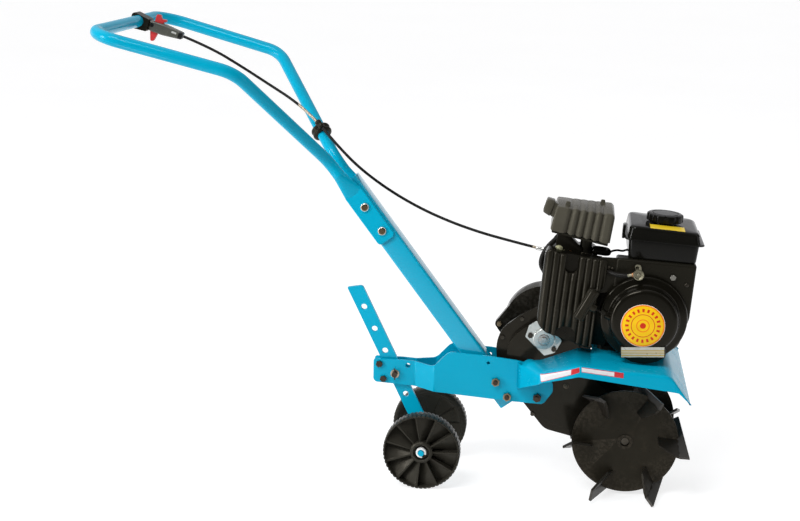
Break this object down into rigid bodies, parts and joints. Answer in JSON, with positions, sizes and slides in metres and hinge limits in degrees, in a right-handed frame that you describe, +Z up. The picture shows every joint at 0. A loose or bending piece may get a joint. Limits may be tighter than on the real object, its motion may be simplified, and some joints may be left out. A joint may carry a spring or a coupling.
{
  "type": "garden tiller",
  "caption": "Walk-behind garden tiller: small engine over a guarded pair of slanted-blade tine drums, chain case, depth bar with transport wheels and a looped tube handle with throttle.",
  "frame": {"origin": "bottom centre of the bounding box, on the ground", "axes": "+X forward (from the handle to the tines), +Y to the machine's left, +Z up"},
  "size_m": [1.2238, 0.5214, 0.9873],
  "materials": {
    "blue_paint": "gloss sky-blue enamel",
    "black_paint": "satin black enamel",
    "zinc": "zinc plated",
    "dark_steel": "blackened steel",
    "plain_steel": "machined steel",
    "cast_alloy": "as cast",
    "black_alloy": "black painted casting",
    "black_plastic": "moulded",
    "grey_plastic": "moulded, dark warm grey",
    "tank_black": "gloss black",
    "red_plastic": "moulded red",
    "wheel_plastic": "moulded black",
    "pale_plastic": "moulded pale grey",
    "rubber": "black rubber",
    "rope": "braided cord"
  },
  "bodies": {
    "chassis": {"mast_tube": "blue_paint", "handlebar": "blue_paint", "side_plate_right": "blue_paint", "side_plate_left": "blue_paint", "engine_deck": "blue_paint", "frame_bolts": "zinc", "chassis_spacers": "zinc", "depth_pin": "zinc", "chain_case_right": "black_paint", "chain_case_left": "black_paint", "machine_screws": "dark_steel", "bearing_flange": "zinc", "shaft_bearings": "plain_steel", "drive_chains": "dark_steel", "drive_belt": "rubber", "belt_cover": "black_plastic", "belt_backplate": "black_paint", "crankcase": "black_alloy", "cylinder": "black_alloy", "spark_plug": "rubber", "fan_housing": "black_plastic", "recoil_cover": "black_plastic", "starter_rope": "rope", "cylinder_cowl": "grey_plastic", "carburettor": "cast_alloy", "air_cleaner_base": "black_plastic", "air_cleaner_cover": "grey_plastic", "breather_hose": "rubber", "muffler": "black_paint", "fuel_tank": "tank_black", "tank_bracket": "black_paint", "fuel_cock": "cast_alloy", "fuel_hose": "rubber", "control_clamp": "black_plastic", "control_body": "grey_plastic", "throttle_cable": "rubber", "cable_clip": "black_plastic"},
    "depth_gauge": {"depth_bar": "blue_paint", "wheel_axle": "blue_paint", "wheel_retainers": "pale_plastic"},
    "transport_wheel_right": {"wheel_right": "wheel_plastic"},
    "transport_wheel_left": {"wheel_left": "wheel_plastic"},
    "tine_rotor": {"tine_shaft": "plain_steel", "tine_disc_right": "black_paint", "tine_disc_left": "black_paint", "tine_blades": "black_paint", "tine_bolts": "dark_steel"},
    "idler": {"idler_sprockets": "plain_steel"},
    "input": {"input_shaft": "plain_steel", "driven_pulley": "cast_alloy"},
    "drum": {"clutch_drum": "plain_steel"},
    "crank": {"crankshaft": "plain_steel", "flywheel": "cast_alloy", "clutch_shoes": "dark_steel"},
    "rope_pulley": {"recoil_pulley": "black_plastic"},
    "grip": {"starter_grip": "black_plastic"},
    "throttle": {"throttle_trigger": "red_plastic"},
    "switch": {"stop_switch": "red_plastic"},
    "cock": {"fuel_cock_lever": "cast_alloy"},
    "cap": {"fuel_cap": "tank_black"}
  },
  "joints": [
    {"name": "depth_slide", "type": "slide", "parent": "chassis", "child": "depth_gauge", "axis": [0.4237, 0, -0.9058], "range_m": [-0.0534, 0.1602], "deforming": ["depth_pin"]},
    {"name": "wheel_right_spin", "type": "hinge", "parent": "depth_gauge", "child": "transport_wheel_right", "pos_m": [0.04078, -0.091, 0.082], "axis": [0, 1, 0], "continuous": true},
    {"name": "wheel_left_spin", "type": "hinge", "parent": "depth_gauge", "child": "transport_wheel_left", "pos_m": [0.04078, 0.091, 0.082], "axis": [0, 1, 0], "continuous": true},
    {"name": "tine_spin", "type": "hinge", "parent": "chassis", "child": "tine_rotor", "pos_m": [0.46755, 0, 0.118], "axis": [0, 1, 0], "continuous": true},
    {"name": "idler_spin", "type": "hinge", "parent": "chassis", "child": "idler", "pos_m": [0.34915, 0, 0.192], "axis": [0, 1, 0], "continuous": true},
    {"name": "input_spin", "type": "hinge", "parent": "chassis", "child": "input", "pos_m": [0.29315, 0, 0.318], "axis": [0, 1, 0], "continuous": true},
    {"name": "drum_spin", "type": "hinge", "parent": "chassis", "child": "drum", "pos_m": [0.49475, 0.096, 0.39278], "axis": [0, 1, 0], "continuous": true},
    {"name": "crank_spin", "type": "hinge", "parent": "chassis", "child": "crank", "pos_m": [0.49475, 0, 0.39278], "axis": [0, 1, 0], "continuous": true},
    {"name": "recoil_spin", "type": "hinge", "parent": "chassis", "child": "rope_pulley", "pos_m": [0.49475, -0.121, 0.39278], "axis": [0, 1, 0], "range_deg": [0, 807.5]},
    {"name": "starter_pull", "type": "slide", "parent": "chassis", "child": "grip", "axis": [-0.8769, 0, 0.4807], "range_m": [0, 0.45], "stiffness_N_per_m": 30, "deforming": ["starter_rope"]},
    {"name": "throttle_squeeze", "type": "hinge", "parent": "chassis", "child": "throttle", "pos_m": [-0.56106, 0.09, 0.95072], "axis": [0, 1, 0], "range_deg": [0, 25], "stiffness_Nm_per_rad": 0.08},
    {"name": "stop_rock", "type": "hinge", "parent": "chassis", "child": "switch", "pos_m": [-0.55117, 0.09, 0.96107], "axis": [0, 1, 0], "range_deg": [0, 12]},
    {"name": "cock_turn", "type": "hinge", "parent": "chassis", "child": "cock", "pos_m": [0.48061, -0.121, 0.48718], "axis": [0, 1, 0], "range_deg": [-90, 0]},
    {"name": "cap_turn", "type": "hinge", "parent": "chassis", "child": "cap", "pos_m": [0.53447, -0.017, 0.58526], "axis": [0.0785, 0, 0.9969], "range_deg": [0, 90]}
  ],
  "couplings": [
    {"joint": "idler_spin", "follows": "tine_spin", "ratio": 1.6},
    {"joint": "input_spin", "follows": "tine_spin", "ratio": 3.9111},
    {"joint": "drum_spin", "follows": "tine_spin", "ratio": 9.7778},
    {"joint": "recoil_spin", "follows": "starter_pull", "rad_per_m": 31.25}
  ]
}
